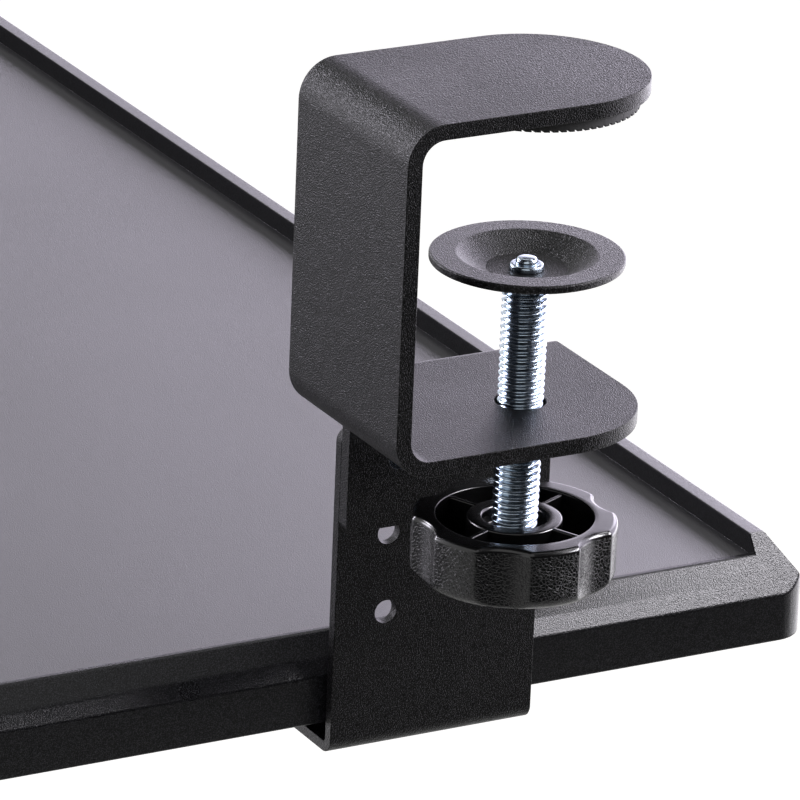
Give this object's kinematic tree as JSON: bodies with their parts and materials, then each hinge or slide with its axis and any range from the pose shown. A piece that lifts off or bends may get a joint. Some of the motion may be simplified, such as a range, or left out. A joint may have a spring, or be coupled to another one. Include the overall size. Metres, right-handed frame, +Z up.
{
  "type": "keyboard tray under desk",
  "caption": "Sliding keyboard tray hung under a desk edge from screw clamps, with height brackets, rails and a raised back stop.",
  "frame": {"origin": "below the middle of the tray, level with the underside of the two bracket feet, tray pulled out as in the picture", "axes": "+X along the tray to the user's right, +Y back under the desk, +Z up"},
  "size_m": [0.761, 0.3, 0.1643],
  "materials": {
    "powder_coated_steel": "fine sand powder coat",
    "tray_plastic": "moulded grain",
    "knob_plastic": "gloss with leather grain",
    "rubber": "moulded, ribbed",
    "zinc_steel": "bright zinc plate",
    "glide_plastic": "natural acetal"
  },
  "bodies": {
    "clamps": {"right_clamp_bracket": "powder_coated_steel", "right_jaw_pad": "rubber", "right_thread_bush": "zinc_steel", "right_height_bracket": "powder_coated_steel", "right_height_bolts": "zinc_steel", "right_slide_bar": "powder_coated_steel", "right_glide_shoes": "glide_plastic", "right_slide_bar_screws": "zinc_steel", "left_clamp_bracket": "powder_coated_steel", "left_jaw_pad": "rubber", "left_thread_bush": "zinc_steel", "left_height_bracket": "powder_coated_steel", "left_height_bolts": "zinc_steel", "left_slide_bar": "powder_coated_steel", "left_glide_shoes": "glide_plastic", "left_slide_bar_screws": "zinc_steel"},
    "tray": {"tray": "tray_plastic", "right_rail": "zinc_steel", "right_rail_screws": "zinc_steel", "right_rail_stops": "rubber", "left_rail": "zinc_steel", "left_rail_screws": "zinc_steel", "left_rail_stops": "rubber"},
    "right_disc": {"right_pressure_disc": "powder_coated_steel"},
    "right_screw": {"right_clamp_screw": "zinc_steel", "right_tip_washer": "zinc_steel", "right_clamp_knob": "knob_plastic"},
    "left_disc": {"left_pressure_disc": "powder_coated_steel"},
    "left_screw": {"left_clamp_screw": "zinc_steel", "left_tip_washer": "zinc_steel", "left_clamp_knob": "knob_plastic"}
  },
  "joints": [
    {"name": "tray_slide", "type": "slide", "parent": "clamps", "child": "tray", "axis": [0, 1, 0], "range_m": [-0.038, 0.138]},
    {"name": "right_disc_rise", "type": "slide", "parent": "clamps", "child": "right_disc", "axis": [0, 0, 1], "range_m": [-0.027, 0.015]},
    {"name": "right_screw_turn", "type": "hinge", "parent": "right_disc", "child": "right_screw", "pos_m": [0.3565, 0.05, 0.0873], "axis": [0, 0, 1], "range_deg": [-6490, 3610]},
    {"name": "left_disc_rise", "type": "slide", "parent": "clamps", "child": "left_disc", "axis": [0, 0, 1], "range_m": [-0.027, 0.015]},
    {"name": "left_screw_turn", "type": "hinge", "parent": "left_disc", "child": "left_screw", "pos_m": [-0.3565, 0.05, 0.0873], "axis": [0, 0, 1], "range_deg": [-6490, 3610]}
  ],
  "couplings": [
    {"joint": "right_screw_turn", "follows": "right_disc_rise", "rad_per_m": 4188.8},
    {"joint": "left_screw_turn", "follows": "left_disc_rise", "rad_per_m": 4188.8}
  ]
}
